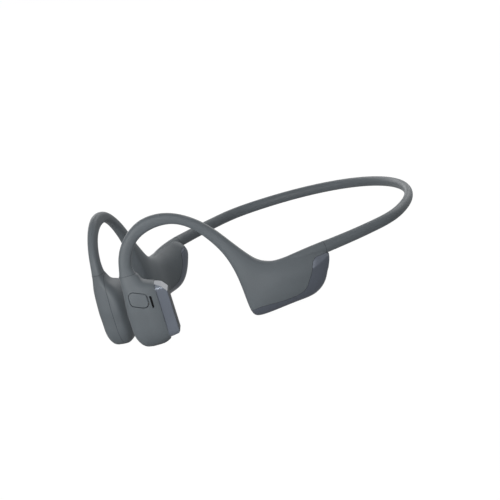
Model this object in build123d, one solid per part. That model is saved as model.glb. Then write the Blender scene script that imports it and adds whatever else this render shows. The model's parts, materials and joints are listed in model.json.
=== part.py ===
from build123d import *

import os
from math import acos, atan2, copysign, cos, degrees, hypot, pi, radians, sin, sqrt

# Bone conduction headphones: a sprung neckband joins two curved pods, and from each pod an ear hook
# arches forward and down to a transducer unit that rests on the cheekbone.
# Millimetres, +Z up, +Y towards the back of the head, +X towards the unit with the call button.
# One side is drawn in its own terms: s runs along the plan line, from the bend where the flat hook
# meets the curved pod (backwards is positive); n is the distance outwards from that line.

# ---- neckband ----
half_width = 51.35         # plan line at its widest
side_radius = 102.7        # plan line beside the neck
corner_radius = 23.4       # plan line round the rear corner
rear_flatness = 3.7        # plan line's radius across the back of the neck, beyond half_width
neck_rise = 1.1            # of the back of the neckband above the pods' ends of it
band_height = 4.6          # sleeve where it leaves the pod
band_thickness = 3.8
band_rear_height = 3.75    # sleeve at the back of the neck
band_rear_thickness = 3.1
band_taper = 0.7           # how soon the sleeve slims down: smaller is sooner
stub_length = 15.8         # the pod's own end of the band, inside the pod
stub_end = 0.6             # its far end, as a share of the band's section

# ---- plan of the pod and the hook ----
front_half_width = 6.97    # plan line at the front of the transducer unit
pod_radius = 65.8          # plan line through the pod
seam_length = 26.26        # of the plan line, from the bend to the neckband's seam

# ---- outline of pod and hook, measured from the bend and from the neckband's axis ----
pod_reach = 27.6           # back to the pod's rear corner
pod_drop = 16.6            # down to the surface that the headphones stand on
hook_reach = 50.2          # forward to the front of the transducer unit
hook_rise = 30.65          # up to the crown of the hook
pod_squareness = 2.7       # how boxy the rounded sections are: 2 is an ellipse
unit_squareness = 3.6
square_stations = 4        # stations over which the unit gets as boxy as that
least_wall = 0.8           # of the shells, beside their hollows

# ---- wires and leads ----
wire_radius = 0.45         # shape memory wire
cable_radius = 0.4
core_offset = 0.78         # wires lie this far outside the plan line, cables this far inside
core_rise = 0.83           # and they rise in a straight line to this share of neck_rise
hook_front_bend = 15.0     # radius of the hook wire over the front of the ear
hook_rear_bend = 17.5      # and down behind it
cable_bend = 3.0           # the neckband cable turns down into the pod
cable_turn = 60.0          # degrees
cable_tail = 1.0
cable_entry = 15.0         # s where the neckband cable turns down
anchor_front = -2.6        # s of the block that clamps the wires
anchor_length = 6.4
anchor_height = 3.6
anchor_rise = 0.6          # its top above the neckband's axis
anchor_thickness = 2.0
anchor_grip = 1.9          # length of the neckband wire held in the clamp

# ---- pod ----
chamber_half_width = 2.8   # hollow of the pod
chamber_roof = 2.6         # below the neckband's axis
chamber_front = 3.4        # in front of the bend
chamber_overlap = 1.0      # of its flat room with its curved one
floor_thickness = 2.2      # of the cover under the chamber
fit_gap = 0.1              # round a piece in its seat
cell_centre = 6.8          # s of the battery cell's middle
cell_length = 17.0
cell_height = 8.6
cell_thickness = 4.0
cell_inset = 2.6           # its inner face, inwards from the plan line
cell_corner = 1.0
seat_rise = 0.5            # of the cell and of the board above what they stand on
guard_board_height = 0.8   # protection board on top of the cell
foam_thickness = 0.5       # between the cell and the shell
board_centre = 12.0        # s of the main board's middle plane
board_front = -2.8         # s of the board's front edge
board_length = 20.3
board_height = 9.6
board_thickness = 0.8
board_inset = 2.6          # its inner face, inwards from the plan line
antenna_length = 10.0
antenna_width = 2.4
antenna_thickness = 0.3
screw_radius = 0.6
screw_head_radius = 1.1
screw_head_height = 0.6
screw_bite = 1.2           # into the shell's inner wall
screw_edge = 1.6           # from the board's edges
port_centre = 16.3         # s of the USB-C port
port_length = 8.94         # USB-C mouth
port_width = 3.26
port_depth = 6.4
port_wall = 0.25
port_tilt = 12.0           # degrees, to face square out of the rising underside
port_sink = 2.1            # mouth's height above the stand surface
tongue_thickness = 0.7     # USB-C contact tongue
tongue_length = 6.7
tongue_depth = 4.4
guide_radius = 0.5         # light guide
guide_place = -1.6         # s
guide_height = 3.0
guide_sink = 0.3           # its lower end above the stand surface
volume_front = 1.0         # s of the first volume button's front end
volume_length = 4.6
volume_width = 2.6
volume_space = 0.6         # between the two volume buttons
volume_proud = 0.25
flange_width = 0.4         # lip that keeps a button in its hole
flange_thickness = 0.7
key_travel = 0.25          # of all three buttons
key_slack = 0.05           # between a pressed button and its switch
switch_length = 3.5
switch_width = 1.6
switch_height = 1.4
key_gap = 0.15             # round a button in its hole

# ---- transducer unit ----
shell_joint = 1.9          # joint between outer shell and cheek pad, inwards from the plan line
shell_depth = 12.7         # outer shell, front to back
unit_wall = 1.4
pad_wall = 2.0             # behind the bone driver
unit_front_wall = 1.6
unit_floor = 3.4           # hollow of the unit above the stand surface
unit_roof = 22.4
unit_shell_inner = 3.0     # hollow's outer face, outwards
unit_corner = 2.5
box_depth = 4.2            # speaker box behind the shell
box_out = 3.4
box_in = 5.2
box_wall = 0.7
box_edge = 0.4             # rounding of its upright rear edges
box_brow = 2.2             # rounding of its faces into its top and its bottom
driver_width = 8.6         # bone driver's frame
driver_height = 13.4
driver_centre_height = 12.0
driver_setback = 7.1       # its middle behind the unit's front
driver_depth = 4.35
driver_wall = 0.8
driver_corner = 1.2
driver_seat = 0.05         # between the frame and the pad
driver_gap = 0.35          # round the yoke
driver_travel = 0.15       # each way
travel_slack = 0.1         # between moving and still pieces at the end of that travel
leaf_thickness = 0.2       # spring plate
leaf_slot_length = 3.6
leaf_slot_width = 0.7
leaf_slot_side = 2.1       # from the plate's middle, across
leaf_slot_end = 2.6        # from the plate's middle, up and down
yoke_thickness = 1.3
magnet_thickness = 2.3
coil_wall = 0.9
coil_depth = 1.9
flex_room = 0.1            # more clear space between the spring plate and the flexible board
flex_thickness = 0.3
flex_width = 9.4
flex_height = 13.4
flex_lead = 0.8            # its rear edge reaches on to the microphone
flex_low = 7.6             # its lower edge above the stand surface
button_width = 6.6
button_height = 5.6
button_slant = 0.42        # how far its edges drop for each millimetre backwards
button_corner = 1.7
button_setback = 5.8       # its centre behind the unit's front
button_rise = 18.9         # its centre above the stand surface
button_proud = 0.15
button_round = 0.4         # its soft rim
button_stem_radius = 1.0
slot_setback = 10.3        # microphone slot
slot_rise = 17.1
slot_width = 0.8
slot_length = 4.6
sensor_length = 3.0        # microphone capsule
sensor_width = 2.0
sensor_thickness = 0.9
mesh_thickness = 0.2
air_width = 5.6            # speaker, across the unit
air_height = 13.0
air_depth = 2.4
air_wall = 0.6
air_back = 0.8
air_centre_height = 11.5
air_inset = 1.0            # its middle, inwards from the plan line
air_setback = 0.4          # behind the shell's rear edge
diaphragm_thickness = 0.2
diaphragm_gap = 0.3
diaphragm_place = 0.75     # above the bottom of its basket
grille_thickness = 0.3
grille_hole = 0.35
grille_length = 4.4
grille_width = 1.6
grille_rise = 0.35         # above the box's bottom
grille_room = 1.0          # clear space above the grille

# Outline stations, from the pod's rear face round to the hook's joint with the transducer unit:
# top point and low point as shares of the reaches (s) and of the rise or the drop (z), how far the
# shell bulges outwards and inwards there, in millimetres, and how much slimmer its top edge is.
HOOK_STATIONS = [
    (0.990, -0.13, 0.875, -0.55, 2.0, 4.3, 0.10),     # pod's rear face
    (0.880, 0.04, 0.830, -0.71, 2.8, 4.9, 0.35),
    (0.730, 0.05, 0.696, -0.88, 3.5, 5.2, 0.42),
    (0.470, 0.047, 0.428, -0.94, 4.1, 4.8, 0.38),     # middle of the pod
    (0.275, 0.047, 0.152, -0.97, 4.1, 4.3, 0.30),
    (0.152, 0.072, -0.036, -1.00, 3.9, 4.1, 0.20),    # valley above, lower front corner below
    (0.043, 0.127, -0.096, -0.98, 3.6, 3.7, 0.15),
    (-0.036, 0.232, -0.125, -0.86, 3.3, 3.2, 0.10),
    (-0.092, 0.356, -0.137, -0.52, 2.9, 2.5, 0.05),
    (-0.151, 0.493, -0.153, 0.02, 2.5, 2.0, 0.0),
    (-0.227, 0.656, -0.205, 0.323, 2.1, 1.7, 0.0),
    (-0.319, 0.803, -0.285, 0.548, 1.9, 1.5, 0.0),
    (-0.426, 0.920, -0.378, 0.724, 1.9, 1.4, 0.0),
    (-0.526, 0.982, -0.496, 0.832, 1.9, 1.4, 0.0),
    (-0.614, 1.000, -0.604, 0.848, 1.9, 1.4, 0.0),    # crown
    (-0.725, 0.972, -0.699, 0.816, 1.9, 1.4, 0.0),
    (-0.837, 0.858, -0.777, 0.744, 1.9, 1.4, 0.0),
    (-0.912, 0.708, -0.829, 0.636, 1.95, 1.4, 0.0),
    (-0.952, 0.548, -0.859, 0.519, 2.1, 1.5, 0.0),
    (-0.978, 0.385, -0.853, 0.382, 2.5, 1.8, 0.0),    # joint with the transducer unit
]

# The transducer unit's stations, from that joint down to its foot: front point and rear point.
UNIT_STATIONS = [
    (-0.978, 0.385, -0.853, 0.382, 2.5, 1.8, 0.0),
    (-0.980, 0.290, -0.826, 0.305, 3.1, 2.6, 0.0),
    (-0.984, 0.210, -0.788, 0.250, 3.7, 4.0, 0.0),
    (-0.989, 0.130, -0.735, 0.210, 4.1, 5.4, 0.0),
    (-0.995, 0.030, -0.700, 0.120, 4.3, 6.3, 0.0),
    (-1.000, -0.280, -0.695, -0.200, 4.4, 6.6, 0.0),
    (-0.999, -0.560, -0.697, -0.520, 4.3, 6.5, 0.0),
    (-0.985, -0.770, -0.700, -0.740, 3.9, 6.0, 0.0),
    (-0.960, -0.900, -0.710, -0.840, 3.2, 5.1, 0.0),
    (-0.930, -0.970, -0.740, -0.925, 2.2, 4.1, 0.0),
    (-0.900, -1.000, -0.790, -1.000, 0.8, 3.0, 0.0),
]

# Chips on the main board: back from its front end, down from its top, length, height, thickness.
CHIPS = [(4.2, 0.8, 5.6, 5.6, 1.1), (11.0, 1.0, 3.6, 3.0, 0.9), (14.9, 0.6, 2.0, 2.0, 0.7),
         (11.2, 5.0, 2.0, 1.4, 0.9)]

# The speaker box in side view: back from the shell as a share of its depth, and height as a share.
BOX_LINE = [(0, 0.20), (0.55, 0.16), (1, 0.08), (1, -0.80), (0.85, -0.84), (0, -0.885)]

# The rear end of the pod's hollow in side view.
CHAMBER_LINE = [(0.56, -0.80), (0.69, -0.75), (0.77, -0.60), (0.82, -0.40)]
chamber_rear = 0.83        # its rear edge at the top, as a share of the reach

# The hook's wire and cable run over these corners, rounded, and end in the pod.
HOOK_LINE = [(-0.902, 0.225), (-0.853, 0.923), (-0.378, 0.923)]
WIRE_END = (-0.038, -0.036)
CABLE_END = (-0.017, -0.145)

# Parting line of the pod's gloss cover, from the front below to the rear above.
COVER_LINE = [(-0.135, -0.83), (0.17, -0.79), (0.41, -0.77), (0.50, -0.73), (0.57, -0.65),
              (0.62, -0.53), (0.69, -0.36), (0.76, -0.14), (0.85, -0.105)]

# ---- the plan line ----
# The flat hook's heading away from straight back, and the neckband's at its seam, follow from the
# widths at the front and at the neck.
pod_turn = seam_length / pod_radius
spread = side_radius - pod_radius
ahead = spread * cos(pod_turn) + pod_radius
aside = spread * sin(pod_turn) - hook_reach
splay = (atan2(aside, ahead)
         + acos((front_half_width - half_width + side_radius) / hypot(ahead, aside)))
seam = splay - pod_turn
side_centre = Vector(half_width - side_radius, 0)
seam_point = side_centre + Vector(cos(seam), -sin(seam)) * side_radius
pod_centre = seam_point - Vector(cos(seam), -sin(seam)) * pod_radius
bend_point = pod_centre + Vector(cos(splay), -sin(splay)) * pod_radius
corner_centre = Vector(half_width - corner_radius, 0)
rear_radius = half_width + rear_flatness
rear_centre = Vector(0, -sqrt((rear_radius - corner_radius) ** 2 - corner_centre.X ** 2))
neck_depth = rear_centre.Y + rear_radius - seam_point.Y
shell_rear = shell_depth - hook_reach
neck_wire_end = anchor_front + anchor_length - anchor_grip
driver_seat_n = driver_seat - (UNIT_STATIONS[5][5] - pad_wall)


def heading(s):
    """The plan line's heading away from straight back, in radians."""
    return splay - max(s, 0.0) / pod_radius


def outward(s):
    """The outward direction at s."""
    return Vector(cos(heading(s)), -sin(heading(s)), 0)


def backward(s):
    """The plan line's direction at s, towards the back of the head."""
    return Vector(sin(heading(s)), cos(heading(s)), 0)


def lay(s, z, n=0.0):
    """A point on the unit: s along the plan line, z above the stand surface, n outwards."""
    base = bend_point + backward(s) * s if s < 0 else pod_centre + outward(s) * pod_radius
    return base + outward(s) * n + Vector(0, 0, z)


def face_plane(s, n=0.0):
    """The upright plane that touches the plan line at s: x backwards, y up, normal outwards.

    Its x is zero at s itself, and its y at the stand surface."""
    return Plane(origin=lay(s, 0, n), x_dir=backward(s), z_dir=outward(s))


def share(u, v):
    """Outline shares as s and z."""
    s = u * (pod_reach if u > 0 else hook_reach)
    return s, pod_drop + v * (hook_rise if v > 0 else pod_drop)


def flatten(plane, points):
    """Outline points in s and z, as x and y on an upright plane."""
    flat = [plane.to_local_coords(lay(*point)) for point in points]
    return [(point.X, point.Y) for point in flat]


# ---- shared shapes ----
def oval(top, low, out, inn, square, slim, points=20):
    """A closed rounded section between a top and a low point.

    square sets how boxy it is, and slim how much narrower it is along its top."""
    middle_s = (top[0] + low[0]) / 2
    high = lay(*top, (out - inn) / 2)
    deep = lay(*low, (out - inn) / 2)
    centre, half = (high + deep) / 2, (high - deep) / 2
    side = outward(middle_s) * ((out + inn) / 2)
    ring = []
    for i in range(points):
        turn = 2 * pi * i / points
        across = copysign(abs(cos(turn)) ** (2 / square), cos(turn))
        along = copysign(abs(sin(turn)) ** (2 / square), sin(turn))
        width = 1 - slim * max(along, 0) ** 2
        ring.append(centre + side * across * width + half * along)
    return Wire([Edge.make_spline(ring, periodic=True)])


def outline_body(stations, square, grow=0.0):
    """A smooth body through outline stations, as boxy as the pod at the hook's joint with the unit."""
    rings = []
    for i, (top_u, top_v, low_u, low_v, out, inn, slim) in enumerate(stations):
        boxy = pod_squareness + (square - pod_squareness) * min(i / square_stations, 1)
        top, low = share(top_u, top_v), share(low_u, low_v)
        rings.append(oval(top, low, out + grow, inn + grow, boxy, slim))
    return Solid.make_loft(rings)


def block(plane, box, corner=0.0):
    """A block on a plane from its two x, its two y and its two z, its upright edges rounded."""
    (left, right), (low, high), (near, far) = box
    size = right - left, high - low
    outline = RectangleRounded(*size, corner) if corner else Rectangle(*size)
    return extrude(plane * Pos((left + right) / 2, (low + high) / 2, near) * outline, far - near)


def slab(plane, points, near, far):
    """A straight-sided piece on a plane, with an outline of points, from near to far."""
    return extrude(plane * Pos(0, 0, near) * make_face(Polyline(*points, close=True)), far - near)


def thread(path, radius):
    """A round wire or cable along a path."""
    return sweep(Plane(path @ 0, z_dir=path % 0) * Circle(radius), path=path)


# ---- neckband ----
def neck_path(start, offset=0.0):
    """The plan line from one pod to the other, offset outwards, from start to its mirror image."""
    lift = Vector(0, 0, pod_drop)
    rear_turn = degrees(atan2(-rear_centre.Y, corner_centre.X))
    join = degrees(seam)
    half = [CenterArc(side_centre + lift, side_radius + offset, -join, join),
            CenterArc(corner_centre + lift, corner_radius + offset, 0, rear_turn)]
    if start < seam_length:
        turn = degrees(heading(start))
        half.insert(0, CenterArc(pod_centre + lift, pod_radius + offset, -turn, turn - join))
    rear = CenterArc(rear_centre + lift, rear_radius + offset, rear_turn, 180 - 2 * rear_turn)
    return Wire(half + [rear] + [edge.mirror(Plane.YZ) for edge in half])


def neckband_sleeve():
    """The soft sleeve, which tapers and rises from both pods to the back of the neck."""
    path = neck_path(seam_length)
    rings = []
    steps = 36
    for i in range(steps + 1):
        blend = sin(pi * i / steps) ** band_taper
        height = band_height + (band_rear_height - band_height) * blend
        thickness = band_thickness + (band_rear_thickness - band_thickness) * blend
        spot = path @ (i / steps)
        rise = neck_rise * ((spot.Y - seam_point.Y) / neck_depth) ** 2
        plane = Plane(spot + Vector(0, 0, rise), x_dir=Vector(0, 0, 1), z_dir=path % (i / steps))
        rings.append((plane * Ellipse(height / 2, thickness / 2)).wire())
    return Solid.make_loft(rings)


def rising(path):
    """A path inside the neckband, tilted to stay near the middle of the rising sleeve."""
    tilt = degrees(atan2(core_rise * neck_rise, neck_depth))
    return path.rotate(Axis(seam_point + Vector(0, 0, pod_drop), (1, 0, 0)), tilt)


def neckband_wire():
    """The path of the spring wire from one pod to the other."""
    return rising(neck_path(neck_wire_end, core_offset))


def pod_stub():
    """The pod's own end of the neckband, which fades away into the pod."""
    rings = []
    steps = 6
    for i in range(steps + 1):
        s = seam_length - stub_length * i / steps
        scale = 1 - (1 - stub_end) * (i / steps) ** 2
        plane = Plane(lay(s, pod_drop), x_dir=Vector(0, 0, 1), z_dir=-backward(s))
        rings.append((plane * Ellipse(scale * band_height / 2, scale * band_thickness / 2)).wire())
    return Solid.make_loft(rings)


def neckband_cable():
    """The path of the cable between the pods, which turns down into both of them."""
    level = neck_path(cable_entry, -core_offset)
    start = lay(cable_entry, pod_drop, -core_offset)
    side_view = Plane(start, x_dir=-backward(cable_entry), z_dir=outward(cable_entry))
    bend = side_view * JernArc((0, 0), (1, 0), cable_bend, cable_turn)
    tail = Line(bend @ 1, (bend @ 1) + (bend % 1) * cable_tail)
    drop = [bend, tail]
    return rising(Wire(list(level.edges()) + drop + [edge.mirror(Plane.YZ) for edge in drop]))


# ---- pod ----
def underside(s):
    """Height of the pod's flat underside."""
    front_s, front_z = share(*HOOK_STATIONS[4][2:4])
    rear_s, rear_z = share(*HOOK_STATIONS[3][2:4])
    return front_z + (s - front_s) * (rear_z - front_z) / (rear_s - front_s)


def cover_region():
    """The space behind and below the parting line of the gloss cover."""
    plane = face_plane(cell_centre)
    line = flatten(plane, [share(*spot) for spot in COVER_LINE])
    parting = Spline(*line)
    floor, back, front = -pod_drop, line[-1][0] + pod_reach, line[0][0] - pod_drop
    rest = Polyline(line[-1], (back, line[-1][1]), (back, floor), (front, floor),
                    (front, line[0][1]), line[0])
    return extrude(plane * make_face(parting + rest), pod_drop, both=True)


def chamber():
    """The pod's hollow: a curved room behind the bend and a flat one in front of it."""
    roof = pod_drop - chamber_roof
    low = underside(0) + floor_thickness
    line = [(0, low)] + [share(*spot) for spot in CHAMBER_LINE]
    line += [(share(chamber_rear, 0)[0], roof), (0, roof)]
    ring = Circle(pod_radius + chamber_half_width) - Circle(pod_radius - chamber_half_width)
    curved = extrude(Pos(pod_centre.X, pod_centre.Y) * ring, pod_drop)
    plane = face_plane(cell_centre)
    rear = curved & slab(plane, flatten(plane, line), -pod_drop, pod_drop)
    front = block(face_plane(0), ((-chamber_front, chamber_overlap), (low, roof),
                                  (-chamber_half_width, chamber_half_width)))
    return (rear + front) & outline_body(HOOK_STATIONS, pod_squareness, -least_wall)


def hook_path(offset, end):
    """The line of the hook's wire or cable, offset outwards, from the transducer to an end."""
    points = [share(*spot) for spot in HOOK_LINE + [end]]
    return face_plane(0, offset) * FilletPolyline(*points, radius=[hook_front_bend, hook_rear_bend])


def pod_set():
    """What both sides have from the neckband to the transducer unit."""
    body = outline_body(HOOK_STATIONS, pod_squareness) + pod_stub() - neckband_sleeve()
    wire = thread(hook_path(core_offset, WIRE_END), wire_radius)
    cable = thread(hook_path(-core_offset, CABLE_END), cable_radius)
    neck_wire = thread(neckband_wire(), wire_radius)
    neck_cable = thread(neckband_cable(), cable_radius)
    top = pod_drop + anchor_rise
    anchor = block(face_plane(0), ((anchor_front, anchor_front + anchor_length),
                                   (top - anchor_height, top),
                                   (core_offset - anchor_thickness / 2,
                                    core_offset + anchor_thickness / 2)))
    room = chamber()
    region = cover_region()
    shell = body - region - room - anchor - wire - cable - neck_wire - neck_cable
    return {"hook_shell": shell, "pod_cover": (body & region) - room, "hook_wire": wire,
            "hook_cable": cable, "wire_anchor": anchor - wire - neck_wire}


def cell_pieces():
    """The battery cell, its protection board and its foam pad, in the +X pod."""
    plane = face_plane(cell_centre, -cell_inset)
    low = underside(cell_centre) + floor_thickness + seat_rise
    ends = (-cell_length / 2, cell_length / 2)
    cell = block(plane, (ends, (low, low + cell_height), (0, cell_thickness)))
    cell = fillet(cell.edges().filter_by(Axis.Z), cell_corner)
    top = low + cell_height
    guard = block(plane, (ends, (top, top + guard_board_height), (0, cell_thickness)))
    foam = block(plane, (ends, (low, top), (cell_thickness, cell_thickness + foam_thickness)))
    return {"battery_cell": cell, "battery_protection_board": guard, "battery_foam": foam}


def underside_plane(s):
    """A plane on the pod's underside at s: x backwards along it, normal up into the pod."""
    slope = Vector(0, 0, underside(s + 1) - underside(s)) + backward(s)
    return Plane(lay(s, underside(s)), x_dir=slope, z_dir=outward(s).cross(slope))


def volume_places():
    """The s of the middles of the two volume buttons."""
    first = volume_front + volume_length / 2
    return first, first + volume_length + volume_space


def volume_button(s):
    """A rounded key through the cover, with a lip inside that keeps it there."""
    plane = underside_plane(s)
    key = plane * SlotOverall(volume_length, volume_width)
    lip = plane * Pos(0, 0, floor_thickness + fit_gap) * SlotOverall(
        volume_length + 2 * flange_width - volume_space / 2, volume_width + 2 * flange_width)
    top = floor_thickness + fit_gap + flange_thickness
    return (extrude(key, volume_proud, dir=-plane.z_dir) + extrude(key, top, dir=plane.z_dir)
            + extrude(lip, flange_thickness, dir=plane.z_dir))


def volume_hole(s):
    """The hole for a volume button."""
    outline = SlotOverall(volume_length + 2 * key_gap, volume_width + 2 * key_gap)
    return extrude(underside_plane(s) * outline, floor_thickness + fit_gap, both=True)


def port_plane():
    """The plane of the USB-C port's mouth: x along the mouth, normal up into the pod."""
    flat = face_plane(board_centre, port_width / 2 - board_inset + board_thickness)
    x, _ = flatten(flat, [(port_centre, port_sink)])[0]
    tilt = radians(port_tilt)
    along = flat.x_dir * cos(tilt) + Vector(0, 0, sin(tilt))
    mouth = flat.origin + flat.x_dir * x + Vector(0, 0, port_sink)
    return Plane(mouth, x_dir=along, z_dir=flat.z_dir.cross(along))


def main_board_pieces():
    """The main board with what it carries, in the +X pod."""
    plane = face_plane(board_centre, -board_inset)
    front = board_front - board_centre
    low = underside(0) + floor_thickness + 2 * fit_gap + flange_thickness + key_travel + seat_rise
    top = low + board_height
    board = block(plane, ((front, front + board_length), (low, top), (0, board_thickness)))
    face = face_plane(board_centre, board_thickness - board_inset)
    chips = [block(face, ((front + x, front + x + wide), (top - y - tall, top - y), (0, thick)))
             for x, y, wide, tall, thick in CHIPS]
    switches = []
    for s in volume_places():
        spot = underside_plane(s)
        level = floor_thickness + fit_gap + flange_thickness + key_travel + key_slack
        switches.append(block(spot, ((-switch_length / 2, switch_length / 2),
                                     (-switch_width / 2, switch_width / 2),
                                     (level, level + switch_height))))
    screws = []
    holes = []
    for x, y in ((screw_edge, screw_edge), (board_length - screw_edge, screw_edge)):
        spot = face * Pos(front + x, top - y, 0)
        screws.append(spot * (extrude(Circle(screw_head_radius), screw_head_height)
                              + extrude(Circle(screw_radius), -board_thickness - screw_bite)))
        holes.append(spot * extrude(Circle(screw_radius), -board_thickness - screw_bite))
    mouth = port_plane()
    outer = SlotOverall(port_length + 2 * port_wall, port_width + 2 * port_wall)
    room = extrude(mouth * outer, port_depth)
    shell = room - extrude(mouth * SlotOverall(port_length, port_width), port_depth - port_wall)
    tongue = block(mouth, ((-tongue_length / 2, tongue_length / 2),
                           (-tongue_thickness / 2, tongue_thickness / 2),
                           (port_depth - port_wall - tongue_depth, port_depth - port_wall)))
    outlet = extrude(mouth * outer, port_depth, both=True)
    return {"main_board": board - holes - outlet, "board_chips": chips, "board_screws": screws,
            "volume_switches": switches, "usb_c_port": shell + tongue}, holes, outlet


# ---- transducer unit ----
def unit_body(grow=0.0):
    """The outer form of shell and cheek pad together, cut off where the speaker box begins."""
    body = outline_body(UNIT_STATIONS, unit_squareness, grow)
    behind = block(face_plane(0), ((shell_rear, shell_rear + hook_reach), (-pod_drop, 2 * pod_drop),
                                   (-hook_reach, hook_reach)))
    return body - behind


def unit_hollow():
    """The room inside shell and cheek pad."""
    inner = UNIT_STATIONS[5][5] - pad_wall
    room = block(face_plane(0), ((unit_front_wall - hook_reach, shell_rear + 2 * unit_corner),
                                 (unit_floor, unit_roof), (-inner, unit_shell_inner)), unit_corner)
    return room & outline_body(UNIT_STATIONS, unit_squareness, -least_wall)


def call_button(gap=0.0):
    """The call button's slanted outline as a prism; gap widens it to its hole."""
    across, up, drop = button_width / 2, button_height / 2, button_slant * button_width / 2
    corners = [(-across, up + drop), (across, up - drop), (across, -up - drop), (-across, drop - up)]
    outline = make_face(Polyline(*corners, close=True))
    outline = offset(fillet(outline.vertices(), button_corner), gap)
    place = Pos(button_setback - hook_reach, button_rise, unit_shell_inner - fit_gap)
    return extrude(face_plane(0) * place * outline, unit_shell_inner)


def unit_set(body):
    """What both transducer units have, without the call button."""
    plane = face_plane(0)
    front = -hook_reach
    room = unit_hollow()
    split = block(plane, ((-2 * hook_reach, hook_reach), (-pod_drop, 3 * pod_drop),
                          (-hook_reach, -shell_joint)))
    slot_x, slot_y = front + slot_setback, slot_rise
    slot = extrude(plane * Pos(slot_x, slot_y) * SlotOverall(slot_length, slot_width, rotation=90),
                   hook_reach)
    made = {"transducer_shell": body - split - room - slot, "cheek_pad": (body & split) - room}

    middle = front + driver_setback, driver_centre_height
    seat = driver_seat_n

    def centred(wide, tall, near, far, corner=0.0):
        """A block about the bone driver's axis."""
        return block(plane, ((middle[0] - wide / 2, middle[0] + wide / 2),
                             (middle[1] - tall / 2, middle[1] + tall / 2), (near, far)), corner)

    inside = driver_width - 2 * driver_wall, driver_height - 2 * driver_wall
    rim = seat + driver_depth
    frame = (centred(driver_width, driver_height, seat, rim, driver_corner)
             - centred(*inside, seat, rim, driver_corner / 2))
    leaf_low = rim + driver_travel + travel_slack
    leaf = centred(driver_width - 2 * fit_gap, driver_height - 2 * fit_gap,
                   leaf_low, leaf_low + leaf_thickness, driver_corner - fit_gap)
    leaf_slot = extrude(SlotOverall(leaf_slot_length, leaf_slot_width, rotation=90), leaf_thickness)
    for side in (-1, 1):
        for end in (-1, 1):
            leaf -= plane * Pos(middle[0] + side * leaf_slot_side, middle[1] + end * leaf_slot_end,
                                leaf_low) * leaf_slot
    yoke_size = inside[0] - 2 * driver_gap, inside[1] - 2 * driver_gap
    coil_size = yoke_size[0] - 2 * driver_gap, yoke_size[1] - 2 * driver_gap
    magnet_size = [size - 2 * coil_wall - 2 * driver_gap for size in coil_size]
    yoke_low = leaf_low - yoke_thickness
    magnet = (centred(*yoke_size, yoke_low, leaf_low, driver_corner / 2)
              + centred(*magnet_size, yoke_low - magnet_thickness, yoke_low))
    coil = (centred(*coil_size, seat, seat + coil_depth, driver_corner / 2)
            - centred(coil_size[0] - 2 * coil_wall, coil_size[1] - 2 * coil_wall,
                      seat, seat + coil_depth, driver_corner / 4))
    made.update({"bone_driver_frame": frame, "bone_driver_spring": leaf,
                 "bone_driver_magnet": magnet, "bone_driver_coil": coil})

    flex_low_n = leaf_low + leaf_thickness + driver_travel + travel_slack + flex_room
    flex_top_n = flex_low_n + flex_thickness
    flex = block(plane, ((middle[0] - flex_width / 2, middle[0] + flex_width / 2 + flex_lead),
                         (flex_low, flex_low + flex_height), (flex_low_n, flex_top_n)), driver_corner / 2)
    sensor = block(plane, ((slot_x - sensor_width / 2, slot_x + sensor_width / 2),
                           (slot_y - sensor_length / 2, slot_y + sensor_length / 2),
                           (flex_top_n, flex_top_n + sensor_thickness)))
    mesh_half = slot_width / 2 + fit_gap, slot_length / 2 + fit_gap
    mesh = block(plane, ((slot_x - mesh_half[0], slot_x + mesh_half[0]),
                         (slot_y - mesh_half[1], slot_y + mesh_half[1]),
                         (unit_shell_inner - mesh_thickness, unit_shell_inner)))
    made.update({"transducer_flex": flex, "microphone": sensor, "microphone_mesh": mesh})
    made.update(speaker_set())
    return made, flex_top_n


def speaker_set():
    """The speaker box behind the shell, with the speaker and its grille."""
    plane = face_plane(0)
    rear = shell_rear + box_depth
    outline = [(shell_rear + u * box_depth, share(0, v)[1]) for u, v in BOX_LINE]
    ends = Plane(plane.origin + plane.x_dir * shell_rear, x_dir=plane.z_dir, z_dir=plane.x_dir)
    box = slab(plane, outline, -box_in, box_out) & block(
        ends, ((-box_in, box_out), (-outline[0][1], -outline[-1][1]), (0, box_depth)), box_brow)
    upright = box.edges().filter_by(Axis.Z).sort_by(Axis(plane.origin, plane.x_dir))
    box = fillet(upright[-2:], box_edge)
    air_low = air_centre_height - air_height / 2
    inner = block(plane, ((shell_rear - box_wall, rear - box_wall),
                          (air_low - fit_gap - grille_room, air_low + air_height + fit_gap),
                          (-air_inset - air_width / 2 - fit_gap, -air_inset + air_width / 2 + fit_gap)))
    middle = (shell_rear + rear - box_wall) / 2
    vent = block(plane, ((middle - grille_width / 2, middle + grille_width / 2), (0, air_centre_height),
                         (-air_inset - grille_length / 2, -air_inset + grille_length / 2)))
    back = Plane(plane.origin + plane.x_dir * (shell_rear + air_setback)
                 + plane.y_dir * air_centre_height - plane.z_dir * air_inset,
                 x_dir=plane.z_dir, z_dir=plane.x_dir)
    basket = (extrude(back * SlotOverall(air_height, air_width, rotation=90), air_depth)
              - extrude(back * Pos(0, 0, air_back) * SlotOverall(
                  air_height - 2 * air_wall, air_width - 2 * air_wall, rotation=90), air_depth))
    cut = air_wall + diaphragm_gap
    sheet = extrude(back * Pos(0, 0, air_back + diaphragm_place) * SlotOverall(
        air_height - 2 * cut, air_width - 2 * cut, rotation=90), diaphragm_thickness)
    grille_low = share(0, BOX_LINE[-1][1])[1] + grille_rise
    grille = block(plane, ((middle - grille_width / 2, middle + grille_width / 2),
                           (grille_low, grille_low + grille_thickness),
                           (-air_inset - grille_length / 2, -air_inset + grille_length / 2)))
    pitch = grille_length / 4
    for i in (-1.5, -0.5, 0.5, 1.5):
        grille -= Plane(plane.origin + plane.x_dir * middle - plane.z_dir * (air_inset + i * pitch)
                        ) * extrude(Circle(grille_hole), pod_drop)
    return {"speaker_box": box - inner - vent, "air_driver_basket": basket,
            "air_driver_diaphragm": sheet, "speaker_grille": grille}


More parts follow.
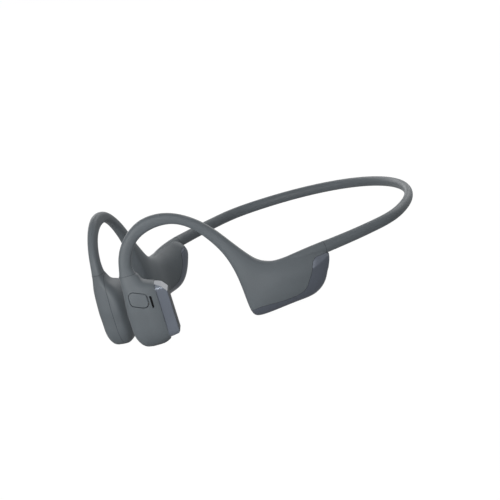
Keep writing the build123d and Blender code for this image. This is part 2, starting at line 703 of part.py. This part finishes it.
def both_sides(name, shape):
    """A piece for the +X side and its mirror image."""
    return {f"{name}_left": shape, f"{name}_right": shape.mirror(Plane.YZ)}


def assemble():
    """Every piece in its place, with the origin under the middle of the whole."""
    made = {"neckband_sleeve": neckband_sleeve()}
    made["neckband_wire"] = thread(neckband_wire(), wire_radius)
    made["neckband_cable"] = thread(neckband_cable(), cable_radius)
    made["neckband_sleeve"] -= [made["neckband_wire"], made["neckband_cable"]]

    pod = pod_set()
    unit, flex_face = unit_set(unit_body())
    for name in ("transducer_shell", "cheek_pad"):
        unit[name] -= [pod["hook_wire"], pod["hook_cable"]]
    board_set, board_holes, outlet = main_board_pieces()
    for name in ("hook_wire", "hook_cable", "wire_anchor"):
        made.update(both_sides(name, pod[name]))

    # the left pod holds the battery, and its hook_shell and cover are plain
    made["hook_shell_left"] = pod["hook_shell"]
    made["pod_cover_left"] = pod["pod_cover"]
    made.update(cell_pieces())

    # the right pod holds the main board, with the volume buttons and the port below
    guide = extrude(Plane(lay(guide_place, 0)) * Circle(guide_radius), pod_drop)
    spots = volume_places()
    cover = pod["pod_cover"] - [volume_hole(s) for s in spots] - outlet - guide
    shell = pod["hook_shell"] - board_holes - outlet
    made["hook_shell_right"] = shell.mirror(Plane.YZ)
    made["pod_cover_right"] = cover.mirror(Plane.YZ)
    guide_room = Plane(lay(guide_place, guide_sink)) * Circle(guide_radius)
    board_set["light_guide"] = extrude(guide_room, guide_height)
    board_set["volume_up_button"] = volume_button(spots[0])
    board_set["volume_down_button"] = volume_button(spots[1])
    for name, shape in board_set.items():
        shape = Compound(shape) if isinstance(shape, list) else shape
        made[name] = shape.mirror(Plane.YZ)

    # the left unit carries the call button
    hole = call_button(key_gap)
    for name, shape in unit.items():
        made.update(both_sides(name, shape))
    made["transducer_shell_left"] = unit["transducer_shell"] - hole
    centre = Pos(button_setback - hook_reach, button_rise, 0)
    flat = Plane(face_plane(0) * centre)
    cap = call_button() & unit_body(button_proud)
    rim = [edge for edge in cap.edges() if abs((edge % 0.5).dot(flat.z_dir)) < cos(pi / 4)
           and flat.to_local_coords(edge @ 0.5).Z > unit_shell_inner]
    cap = fillet(rim, button_round)
    lip_low = unit_shell_inner - fit_gap - flange_thickness
    lip = extrude(flat * Pos(0, 0, lip_low) * Rectangle(
        button_width - 2 * button_corner, button_height + 2 * flange_width), flange_thickness)
    switch_top = flex_face + sensor_thickness
    stem_low = switch_top + key_travel + key_slack
    stem = extrude(flat * Pos(0, 0, stem_low) * Circle(button_stem_radius), lip_low - stem_low)
    made["call_button"] = cap + lip + stem
    made["call_button_switch"] = extrude(flat * Pos(0, 0, flex_face) * Rectangle(
        switch_length, switch_length), sensor_thickness)

    boxes = [shape.bounding_box() for shape in made.values()]
    front, back = min(box.min.Y for box in boxes), max(box.max.Y for box in boxes)
    home = Pos(0, -(front + back) / 2, -min(box.min.Z for box in boxes))
    return {name: home * shape for name, shape in made.items()}


if __name__ == "__main__":
    os.makedirs("parts", exist_ok=True)
    for name, shape in assemble().items():
        export_step(shape, f"parts/{name}.step")
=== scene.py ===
import json
from math import cos, radians, sin

import bmesh
import bpy
from bpy.props import FloatProperty, FloatVectorProperty, PointerProperty
from bpy.types import Operator, Panel, PropertyGroup
from mathutils import Matrix, Vector
from mathutils.bvhtree import BVHTree


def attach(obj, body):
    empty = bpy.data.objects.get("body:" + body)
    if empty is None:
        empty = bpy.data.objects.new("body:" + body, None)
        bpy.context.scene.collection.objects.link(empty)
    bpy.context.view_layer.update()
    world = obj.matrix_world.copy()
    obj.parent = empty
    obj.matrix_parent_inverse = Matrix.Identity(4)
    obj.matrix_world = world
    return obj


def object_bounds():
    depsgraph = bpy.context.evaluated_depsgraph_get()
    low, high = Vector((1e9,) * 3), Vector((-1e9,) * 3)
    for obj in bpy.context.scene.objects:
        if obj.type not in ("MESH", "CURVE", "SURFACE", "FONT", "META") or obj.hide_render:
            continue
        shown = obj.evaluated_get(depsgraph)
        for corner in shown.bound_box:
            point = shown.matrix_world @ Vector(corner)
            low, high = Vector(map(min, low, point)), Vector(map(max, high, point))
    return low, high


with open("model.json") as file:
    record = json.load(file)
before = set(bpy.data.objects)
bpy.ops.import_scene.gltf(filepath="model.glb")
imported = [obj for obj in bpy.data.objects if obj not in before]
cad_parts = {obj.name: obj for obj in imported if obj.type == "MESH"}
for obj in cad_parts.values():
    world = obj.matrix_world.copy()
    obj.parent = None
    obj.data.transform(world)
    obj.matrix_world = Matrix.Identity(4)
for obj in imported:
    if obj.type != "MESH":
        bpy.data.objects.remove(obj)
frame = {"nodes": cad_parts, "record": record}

bl_info = {
    "name": "Bone Conduction Headphones",
    "version": (1, 0, 0),
    "blender": (4, 5, 0),
    "location": "View3D > Sidebar > Headphones",
    "description": "Finishes the headphones and sets them on a pale studio floor",
    "category": "Object",
}

CAD_BOX = [list(corner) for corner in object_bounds()]
NODES = frame["nodes"]
UP = Vector((0, 0, 1))
MAIN = "headphones"
SIDES = ("left", "right")
MERGE_DISTANCE = 1e-7    # in metres, for the loose triangles of a CAD node


def mount_axis(name):
    """The direction of a mount of the record."""
    for mount in frame["record"]["mounts"]:
        if mount["name"] == name:
            return Vector(mount["axis"]).normalized()
    raise RuntimeError(f"the record has no mount {name}")


def merged_copy(name):
    """A bmesh of a CAD node with its loose triangles joined."""
    bm = bmesh.new()
    bm.from_mesh(NODES[name].data)
    bmesh.ops.remove_doubles(bm, verts=bm.verts, dist=MERGE_DISTANCE)
    return bm


# ---- settings ----
class HeadphoneFinishes(PropertyGroup):
    silicone: FloatVectorProperty(
        name="Silicone", description="Colour of the soft-touch skin",
        default=(0.128, 0.145, 0.158), subtype="COLOR", min=0, max=1)
    lacquer: FloatVectorProperty(
        name="Lacquer", description="Colour of the glossy covers",
        default=(0.11, 0.125, 0.155), subtype="COLOR", min=0, max=1)
    box_lacquer: FloatVectorProperty(
        name="Box Lacquer", description="Colour of the glossy speaker boxes",
        default=(0.17, 0.192, 0.232), subtype="COLOR", min=0, max=1)
    silicone_roughness: FloatProperty(
        name="Silicone Roughness", description="How matte the soft-touch skin is",
        default=0.42, min=0, max=1, subtype="FACTOR")
    lacquer_roughness: FloatProperty(
        name="Lacquer Roughness", description="How matte the glossy covers are",
        default=0.12, min=0, max=1, subtype="FACTOR")
    grain_size: FloatProperty(
        name="Grain Size", description="Size of the skin's moulded grain",
        default=0.00035, min=0.00005, max=0.002, unit="LENGTH")
    grain_depth: FloatProperty(
        name="Grain Depth", description="Depth of the skin's moulded grain",
        default=0.000012, min=0, max=0.0002, unit="LENGTH")
    joint: FloatVectorProperty(
        name="Joint", description="Colour of the shadow in the joints between mouldings",
        default=(0.045, 0.05, 0.055), subtype="COLOR", min=0, max=1)
    joint_width: FloatProperty(
        name="Joint Width", description="Width of the joints between mouldings",
        default=0.00013, min=0.00002, max=0.001, unit="LENGTH")


class HeadphoneStudio(PropertyGroup):
    camera_azimuth: FloatProperty(
        name="Camera Azimuth", description="Camera's turn from the front towards the wearer's left",
        default=radians(57.146), subtype="ANGLE")
    camera_elevation: FloatProperty(
        name="Camera Elevation", description="Camera's height above level",
        default=radians(12.81), subtype="ANGLE")
    camera_roll: FloatProperty(
        name="Camera Roll", description="Camera's turn about its own axis",
        default=radians(-17.099), subtype="ANGLE")
    camera_distance: FloatProperty(
        name="Camera Distance", description="From the aim point to the camera",
        default=1.50376, min=0.1, unit="LENGTH")
    camera_aim: FloatVectorProperty(
        name="Camera Aim", description="Point in the middle of the view",
        default=(0.0, -0.000862, 0.0145), subtype="XYZ")
    lens: FloatProperty(
        name="Lens", description="Focal length for a 36 mm sensor, in millimetres",
        default=288.0, min=10)
    key_power: FloatProperty(
        name="Key Power", description="Power of the main soft lamp",
        default=2.5, min=0, unit="POWER")
    lamp_distance: FloatProperty(
        name="Lamp Distance", description="From the middle of the view to each lamp",
        default=0.7, min=0.1, unit="LENGTH")
    sky_level: FloatProperty(
        name="Sky Level", description="Even light from all round", default=0.28, min=0, max=2)
    floor_shade: FloatProperty(
        name="Floor Shade", description="How pale the floor is to the light that it throws back",
        default=0.35, min=0, max=1, subtype="FACTOR")
    floor_white: FloatProperty(
        name="Floor White", description="Brightness of the floor as the camera sees it",
        default=1.1, min=0, max=2)
    mirrored_white: FloatProperty(
        name="Mirrored White", description="Share of the floor's white that gloss shows",
        default=0.3, min=0, max=1, subtype="FACTOR")


# ---- materials ----
COAT_ROUGHNESS = 0.1
PATCH_SCALE = 90.0       # cloudy patches for each metre


def fresh_material(name):
    """A material with a Principled BSDF, its node tree and that shader."""
    material = bpy.data.materials.new(name)
    material.use_nodes = True
    tree = material.node_tree
    shader = next(node for node in tree.nodes if node.type == "BSDF_PRINCIPLED")
    return material, tree, shader


def new_node(tree, kind, **values):
    """A node with its inputs or its own settings given by name."""
    node = tree.nodes.new("ShaderNode" + kind)
    for name, value in values.items():
        plain = name.replace("_", " ").title()
        if plain in node.inputs:
            node.inputs[plain].default_value = value
        else:
            setattr(node, name, value)
    return node


def moulded_grain_group():
    """A node group for moulded plastic and silicone: fine grain, cloudy colour, uneven gloss."""
    group = bpy.data.node_groups.new("moulded_grain", "ShaderNodeTree")
    inputs = (("Color", "NodeSocketColor", (0.2, 0.2, 0.2, 1)), ("Cloud", "NodeSocketFloat", 0.06),
              ("Roughness", "NodeSocketFloat", 0.5), ("Roughness Spread", "NodeSocketFloat", 0.08),
              ("Grain Scale", "NodeSocketFloat", 2500.0), ("Patch Scale", "NodeSocketFloat", 90.0))
    for name, kind, value in inputs:
        group.interface.new_socket(name, in_out="INPUT", socket_type=kind).default_value = value
    for name, kind in (("Color", "NodeSocketColor"), ("Roughness", "NodeSocketFloat"),
                       ("Height", "NodeSocketFloat")):
        group.interface.new_socket(name, in_out="OUTPUT", socket_type=kind)
    link = group.links.new
    entry = group.nodes.new("NodeGroupInput")
    leave = group.nodes.new("NodeGroupOutput")
    place = new_node(group, "TexCoord")
    fine = new_node(group, "TexNoise", detail=3.0, roughness=0.6)
    cloud = new_node(group, "TexNoise", detail=4.0, roughness=0.55)
    link(place.outputs["Object"], fine.inputs["Vector"])
    link(place.outputs["Object"], cloud.inputs["Vector"])
    link(entry.outputs["Grain Scale"], fine.inputs["Scale"])
    link(entry.outputs["Patch Scale"], cloud.inputs["Scale"])

    swing = new_node(group, "MapRange", from_min=0.3, from_max=0.7, to_min=-1.0, to_max=1.0)
    link(cloud.outputs["Fac"], swing.inputs["Value"])
    speckle = new_node(group, "MapRange", from_min=0.3, from_max=0.7, to_min=-0.5, to_max=0.5)
    link(fine.outputs["Fac"], speckle.inputs["Value"])
    mixed = new_node(group, "Math", operation="ADD")
    link(swing.outputs[0], mixed.inputs[0])
    link(speckle.outputs[0], mixed.inputs[1])
    tint = new_node(group, "Math", operation="MULTIPLY_ADD")
    link(mixed.outputs[0], tint.inputs[0])
    link(entry.outputs["Cloud"], tint.inputs[1])
    tint.inputs[2].default_value = 1.0
    shade = new_node(group, "VectorMath", operation="SCALE")
    link(entry.outputs["Color"], shade.inputs[0])
    link(tint.outputs[0], shade.inputs["Scale"])
    link(shade.outputs[0], leave.inputs["Color"])
    rough = new_node(group, "Math", operation="MULTIPLY_ADD", use_clamp=True)
    link(swing.outputs[0], rough.inputs[0])
    link(entry.outputs["Roughness Spread"], rough.inputs[1])
    link(entry.outputs["Roughness"], rough.inputs[2])
    link(rough.outputs[0], leave.inputs["Roughness"])
    link(fine.outputs["Fac"], leave.inputs["Height"])
    return group


def grained(name, group, color, roughness, grain, depth, cloud=0.06, spread=0.06, metallic=0.0,
            coat=0.0, specular=0.5):
    """A material whose colour, roughness and bump come from the moulded grain."""
    material, tree, shader = fresh_material(name)
    node = tree.nodes.new("ShaderNodeGroup")
    node.node_tree = group
    values = {"Color": (*color, 1), "Cloud": cloud, "Roughness": roughness,
              "Roughness Spread": spread, "Grain Scale": 1 / grain, "Patch Scale": PATCH_SCALE}
    for key, value in values.items():
        node.inputs[key].default_value = value
    bump = new_node(tree, "Bump", distance=depth)
    tree.links.new(node.outputs["Color"], shader.inputs["Base Color"])
    tree.links.new(node.outputs["Roughness"], shader.inputs["Roughness"])
    tree.links.new(node.outputs["Height"], bump.inputs["Height"])
    tree.links.new(bump.outputs["Normal"], shader.inputs["Normal"])
    shader.inputs["Metallic"].default_value = metallic
    shader.inputs["Coat Weight"].default_value = coat
    shader.inputs["Coat Roughness"].default_value = COAT_ROUGHNESS
    shader.inputs["Specular IOR Level"].default_value = specular
    material.diffuse_color = (*color, 1)
    return material


def box_rear(side):
    """The direction in which the back of a speaker box faces: level, at right angles to its pad."""
    pad = mount_axis(f"cheek_{side}")
    across = UP.cross(pad)
    return (across if across.y > 0 else -across).normalized()


# How far in front of a speaker box's back the painted shade and dull finish start and are complete.
REAR_START = 0.00015
REAR_FULL = 0.00005
REAR_ROUGHNESS = 0.75


def paint_face_shade(material, name, direction, color):
    """Makes the end of a glossy node that looks in one direction dark and dull; the dark colour is
    painted shade.
    """
    tree = material.node_tree
    shader = next(node for node in tree.nodes if node.type == "BSDF_PRINCIPLED")
    reach = max(direction.dot(vert.co) for vert in NODES[name].data.vertices)
    place = new_node(tree, "TexCoord")
    facing = new_node(tree, "VectorMath", operation="DOT_PRODUCT")
    tree.links.new(place.outputs["Object"], facing.inputs[0])
    facing.inputs[1].default_value = direction
    mask = new_node(tree, "MapRange", from_min=reach - REAR_START, from_max=reach - REAR_FULL)
    tree.links.new(facing.outputs["Value"], mask.inputs["Value"])
    # The dark base colour is painted shade; the roughness and metallic make the end dull.
    shade_and_dull = (("Base Color", (*color, 1)), ("Roughness", REAR_ROUGHNESS), ("Metallic", 0.0))
    for label, value in shade_and_dull:
        socket = shader.inputs[label]
        mix = new_node(tree, "Mix", data_type="RGBA" if label == "Base Color" else "FLOAT")
        # A Mix node holds a pair of inputs and an output for each kind of data.
        plain, dull, result = (6, 7, 2) if label == "Base Color" else (2, 3, 0)
        if socket.is_linked:
            tree.links.new(socket.links[0].from_socket, mix.inputs[plain])
        else:
            mix.inputs[plain].default_value = socket.default_value
        mix.inputs[dull].default_value = value
        tree.links.new(mask.outputs[0], mix.inputs[0])
        tree.links.new(mix.outputs[result], socket)


# Finishes of the pieces inside and of the small fittings, by slot:
# colour, roughness, grain size and depth in metres, and whatever differs from the usual.
FITTINGS = {
    "acoustic_mesh": ((0.028, 0.03, 0.033), 0.7, 0.0001, 2e-5, {"specular": 0.2}),
    "spring_wire": ((0.55, 0.55, 0.56), 0.3, 0.0001, 4e-6, {"metallic": 1.0}),
    "steel": ((0.6, 0.6, 0.61), 0.32, 0.0002, 4e-6, {"metallic": 1.0}),
    "magnet_steel": ((0.62, 0.62, 0.64), 0.22, 0.0002, 3e-6, {"metallic": 1.0}),
    "copper": ((0.72, 0.40, 0.22), 0.35, 0.0001, 2e-5, {"metallic": 1.0}),
    "cable_jacket": ((0.03, 0.03, 0.03), 0.5, 0.0003, 1e-5, {}),
    "cell_foil": ((0.7, 0.7, 0.72), 0.38, 0.0006, 3e-5, {"metallic": 0.9}),
    "circuit_board": ((0.02, 0.16, 0.07), 0.35, 0.0004, 1e-5, {"coat": 0.4}),
    "flex_circuit": ((0.45, 0.22, 0.05), 0.4, 0.0004, 1e-5, {}),
    "chip_black": ((0.02, 0.02, 0.02), 0.5, 0.0002, 1e-5, {}),
    "foam": ((0.05, 0.05, 0.05), 0.95, 0.0004, 1e-4, {}),
    "port_metal": ((0.65, 0.65, 0.66), 0.3, 0.0003, 4e-6, {"metallic": 1.0}),
    "light_guide_clear": ((0.75, 0.78, 0.80), 0.15, 0.0004, 2e-6, {"coat": 0.5}),
    "driver_plastic": ((0.05, 0.05, 0.055), 0.45, 0.0003, 1e-5, {}),
    "diaphragm_film": ((0.3, 0.3, 0.3), 0.35, 0.0005, 1e-5, {}),
}
SOFT = {"cloud": 0.035, "spread": 0.05, "specular": 0.2}
GLOSS = {"cloud": 0.05, "spread": 0.03, "specular": 0.5, "metallic": 0.4}
BUTTON_TINT = 1.04       # how much paler the buttons are than the skin
GLOSS_GRAIN = 0.4        # the lacquer's grain against the skin's, in size
GLOSS_DEPTH = 0.15       # and in depth


def make_materials(finish):
    """Every finish of the record, by slot, and one lacquer for each speaker box."""
    group = moulded_grain_group()
    made = {}

    def add(name, color, roughness, grain, depth, more):
        made[name] = grained(name, group, color, roughness, grain, depth, **more)

    grain, depth = finish.grain_size, finish.grain_depth
    button = [value * BUTTON_TINT for value in finish.silicone]
    add("soft_silicone", finish.silicone[:], finish.silicone_roughness, grain, depth, SOFT)
    add("button_silicone", button, finish.silicone_roughness, grain, depth, SOFT)
    lacquers = {"gloss_shell": finish.lacquer[:]}
    lacquers.update({f"box_lacquer_{side}": finish.box_lacquer[:] for side in SIDES})
    for name, color in lacquers.items():
        add(name, color, finish.lacquer_roughness, grain * GLOSS_GRAIN, depth * GLOSS_DEPTH, GLOSS)
    for side in SIDES:
        lacquered = made[f"box_lacquer_{side}"]
        # Each box's back gets painted shade in the joint colour.
        paint_face_shade(lacquered, f"speaker_box_{side}", box_rear(side), finish.joint[:])
    for name, values in FITTINGS.items():
        add(name, *values)
    return made


class HEADPHONES_OT_finishes(Operator):
    """Give every CAD part the finish of its slot"""
    bl_idname = "headphones.finishes"
    bl_label = "Finish Parts"

    def execute(self, context):
        made = make_materials(context.scene.headphone_finishes)
        special = {}
        for side in SIDES:
            special[f"microphone_mesh_{side}"] = "acoustic_mesh"
            special[f"speaker_box_{side}"] = f"box_lacquer_{side}"
        for part in frame["record"]["subparts"]:
            node = NODES[part["node"]]
            name = special.get(part["node"], part["material_slot"])
            node.data.materials.clear()
            node.data.materials.append(made[name])
        return {"FINISHED"}


# ---- seams ----
# Two faces lie against each other when their normals' dot product is below this.
OPPOSED = -0.9


def contact_outline(name, other, reach=0.00003):
    """The longest loop of points round the faces with which one CAD node lies against another.

    reach is how far apart two faces that touch may be."""
    bm = merged_copy(name)
    mate = merged_copy(other)
    tree = BVHTree.FromBMesh(mate)
    mate.free()
    touching = set()
    for face in bm.faces:
        spots = [face.calc_center_median()] + [vert.co for vert in face.verts]
        found = [tree.find_nearest(spot, reach) for spot in spots]
        if all(hit[0] is not None for hit in found) and found[0][1].dot(face.normal) < OPPOSED:
            touching.add(face)
    ways = {}
    for edge in bm.edges:
        if sum(face in touching for face in edge.link_faces) == 1:
            for vert in edge.verts:
                ways.setdefault(vert, []).append(edge)
    loops = []
    used = set()
    for start, edges in ways.items():
        for first in edges:
            if first in used:
                continue
            loop = [start]
            edge = first
            while edge is not None and edge not in used:
                used.add(edge)
                loop.append(edge.other_vert(loop[-1]))
                edge = next((way for way in ways[loop[-1]] if way not in used), None)
            loops.append([vert.co.copy() for vert in loop])
    bm.free()
    if not loops:
        raise RuntimeError(f"{name} and {other} don't touch")
    return max(loops, key=lambda loop: sum((a - b).length for a, b in zip(loop, loop[1:])))


def seam_line(name, points, radius):
    """A thin dark line in the joint between two mouldings, along a closed loop of points."""
    spaced = [points[0]]
    for point in points[1:]:
        if (point - spaced[-1]).length > radius:
            spaced.append(point)
    if (spaced[0] - spaced[-1]).length <= radius:
        spaced.pop()
    curve = bpy.data.curves.new(name, "CURVE")
    curve.dimensions = "3D"
    curve.bevel_depth = radius
    curve.bevel_resolution = 1
    spline = curve.splines.new("POLY")
    spline.points.add(len(spaced) - 1)
    for spot, point in zip(spline.points, spaced):
        spot.co = (*point, 1)
    spline.use_cyclic_u = True
    drawn = bpy.data.objects.new(name, curve)
    mesh = bpy.data.meshes.new_from_object(drawn)
    bpy.data.objects.remove(drawn)
    bpy.data.curves.remove(curve)
    lowest = CAD_BOX[0][2]
    for vert in mesh.vertices:
        vert.co.z = max(vert.co.z, lowest)
    mesh.name = name
    seam = bpy.data.objects.new(name, mesh)
    bpy.context.scene.collection.objects.link(seam)
    return seam


JOINT_ROUGHNESS = 0.8


class HEADPHONES_OT_seams(Operator):
    """Draw the thin joints between the mouldings"""
    bl_idname = "headphones.seams"
    bl_label = "Draw Seams"

    def execute(self, context):
        finish = context.scene.headphone_finishes
        dark = grained("joint_shadow", bpy.data.node_groups["moulded_grain"], finish.joint[:],
                       JOINT_ROUGHNESS, finish.grain_size, finish.grain_depth, specular=0.2)
        for side in SIDES:
            joints = (("hook_joint", f"hook_shell_{side}", f"transducer_shell_{side}"),
                      ("pad_joint", f"cheek_pad_{side}", f"transducer_shell_{side}"),
                      ("band_joint", f"hook_shell_{side}", "neckband_sleeve"),
                      ("cover_joint", f"pod_cover_{side}", f"hook_shell_{side}"))
            for name, first, second in joints:
                outline = contact_outline(first, second)
                seam = seam_line(f"{name}_{side}", outline, finish.joint_width / 2)
                seam.data.materials.append(dark)
                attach(seam, MAIN)
        return {"FINISHED"}


# ---- stage ----
SEEN_WHITE = 0.9        # the rest of the floor takes the object's shadow
FLOOR_SIZE = 4.0        # half its width, in metres
SENSOR_WIDTH = 36.0     # in millimetres
FAR_CLIP = 10.0         # in metres


def white_share(tree, seen, mirrored):
    """How much of the backdrop's own white a ray sees.

    seen is the share straight or through glass, and mirrored the share in gloss."""
    path = new_node(tree, "LightPath")
    straight = new_node(tree, "Math", operation="ADD")
    tree.links.new(path.outputs["Is Camera Ray"], straight.inputs[0])
    tree.links.new(path.outputs["Is Transmission Ray"], straight.inputs[1])
    gloss = new_node(tree, "Math", operation="MULTIPLY")
    tree.links.new(path.outputs["Is Glossy Ray"], gloss.inputs[0])
    gloss.inputs[1].default_value = mirrored
    share = new_node(tree, "Math", operation="MULTIPLY_ADD")
    tree.links.new(straight.outputs[0], share.inputs[0])
    share.inputs[1].default_value = seen
    tree.links.new(gloss.outputs[0], share.inputs[2])
    return share.outputs[0]


def floor_material(studio):
    """A pale floor that the camera sees as white, apart from the object's shadow on it."""
    material, tree, shader = fresh_material("pale_floor")
    shade = studio.floor_shade
    shader.inputs["Base Color"].default_value = (shade, shade, shade, 1)
    shader.inputs["Roughness"].default_value = 0.9
    shader.inputs["Specular IOR Level"].default_value = 0.1
    glow = new_node(tree, "Emission", color=(1, 1, 1, 1), strength=studio.floor_white)
    mix = new_node(tree, "MixShader")
    tree.links.new(white_share(tree, SEEN_WHITE, studio.mirrored_white), mix.inputs[0])
    tree.links.new(shader.outputs[0], mix.inputs[1])
    tree.links.new(glow.outputs[0], mix.inputs[2])
    output = next(node for node in tree.nodes if node.type == "OUTPUT_MATERIAL")
    tree.links.new(mix.outputs[0], output.inputs["Surface"])
    return material


# Name, azimuth from the front towards the wearer's left and elevation in degrees, width in metres,
# share of the key's power.
LAMPS = (
    ("key", 32, 9, 0.3, 1.0),
    ("front", 0, 2, 0.3, 0.4),
    ("side", 75, 2, 0.5, 0.25),
    ("back", 190, 35, 0.5, 0.65),
    ("far_side", 260, 30, 0.5, 0.5),
)


def bearing(azimuth, elevation):
    """The direction towards an azimuth from the front and an elevation."""
    level = cos(elevation)
    return Vector((sin(azimuth) * level, -cos(azimuth) * level, sin(elevation)))


def add_lamp(name, place, aim, size, power):
    """A soft square lamp that faces a point."""
    data = bpy.data.lights.new(name, "AREA")
    data.size = size
    data.energy = power
    lamp = bpy.data.objects.new(name, data)
    bpy.context.scene.collection.objects.link(lamp)
    lamp.location = place
    lamp.rotation_euler = (Vector(aim) - Vector(place)).to_track_quat("-Z", "Y").to_euler()
    return lamp


class HEADPHONES_OT_stage(Operator):
    """Set the floor, the lamps, the sky and the camera"""
    bl_idname = "headphones.stage"
    bl_label = "Set Stage"

    def execute(self, context):
        studio = context.scene.headphone_studio
        scene = context.scene
        scene.view_settings.view_transform = "Standard"

        bm = bmesh.new()
        bmesh.ops.create_grid(bm, x_segments=1, y_segments=1, size=FLOOR_SIZE)
        mesh = bpy.data.meshes.new("floor")
        bm.to_mesh(mesh)
        bm.free()
        floor = bpy.data.objects.new("floor", mesh)
        scene.collection.objects.link(floor)
        mesh.materials.append(floor_material(studio))

        world = bpy.data.worlds.new("sky")
        scene.world = world
        world.use_nodes = True
        tree = world.node_tree
        sky = next(node for node in tree.nodes if node.type == "BACKGROUND")
        sky.inputs["Color"].default_value = (1, 1, 1, 1)
        sky.inputs["Strength"].default_value = studio.sky_level
        white = new_node(tree, "Background", color=(1, 1, 1, 1), strength=1.0)
        mix = new_node(tree, "MixShader")
        output = next(node for node in tree.nodes if node.type == "OUTPUT_WORLD")
        tree.links.new(white_share(tree, 1.0, 1.0), mix.inputs[0])
        tree.links.new(sky.outputs[0], mix.inputs[1])
        tree.links.new(white.outputs[0], mix.inputs[2])
        tree.links.new(mix.outputs[0], output.inputs["Surface"])

        middle = Vector(studio.camera_aim)
        for name, azimuth, elevation, size, share in LAMPS:
            away = bearing(radians(azimuth), radians(elevation)) * studio.lamp_distance
            add_lamp(name, middle + away, middle, size, studio.key_power * share)

        back = bearing(studio.camera_azimuth, studio.camera_elevation)
        camera = bpy.data.objects.new("camera", bpy.data.cameras.new("camera"))
        scene.collection.objects.link(camera)
        camera.data.lens = studio.lens
        camera.data.sensor_width = SENSOR_WIDTH
        camera.data.clip_end = FAR_CLIP
        turn = back.to_track_quat("Z", "Y").to_matrix().to_4x4()
        roll = Matrix.Rotation(studio.camera_roll, 4, "Z")
        place = Matrix.Translation(middle + back * studio.camera_distance)
        camera.matrix_world = place @ turn @ roll
        scene.camera = camera
        return {"FINISHED"}


STEPS = (HEADPHONES_OT_finishes, HEADPHONES_OT_seams, HEADPHONES_OT_stage)


class HEADPHONES_PT_panel(Panel):
    bl_idname = "HEADPHONES_PT_panel"
    bl_label = "Headphones"
    bl_space_type = "VIEW_3D"
    bl_region_type = "UI"
    bl_category = "Headphones"

    def draw(self, context):
        layout = self.layout
        for settings in (context.scene.headphone_finishes, context.scene.headphone_studio):
            column = layout.column(align=True)
            for name in settings.__annotations__:
                column.prop(settings, name)
        for step in STEPS:
            layout.operator(step.bl_idname)


CLASSES = (HeadphoneFinishes, HeadphoneStudio, *STEPS, HEADPHONES_PT_panel)


def register():
    for item in CLASSES:
        bpy.utils.register_class(item)
    bpy.types.Scene.headphone_finishes = PointerProperty(type=HeadphoneFinishes)
    bpy.types.Scene.headphone_studio = PointerProperty(type=HeadphoneStudio)


def unregister():
    del bpy.types.Scene.headphone_studio
    del bpy.types.Scene.headphone_finishes
    for item in reversed(CLASSES):
        bpy.utils.unregister_class(item)


def main():
    """Registers the add-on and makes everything."""
    register()
    for step in STEPS:
        group, name = step.bl_idname.split(".")
        getattr(getattr(bpy.ops, group), name)()


if __name__ == "__main__":
    main()
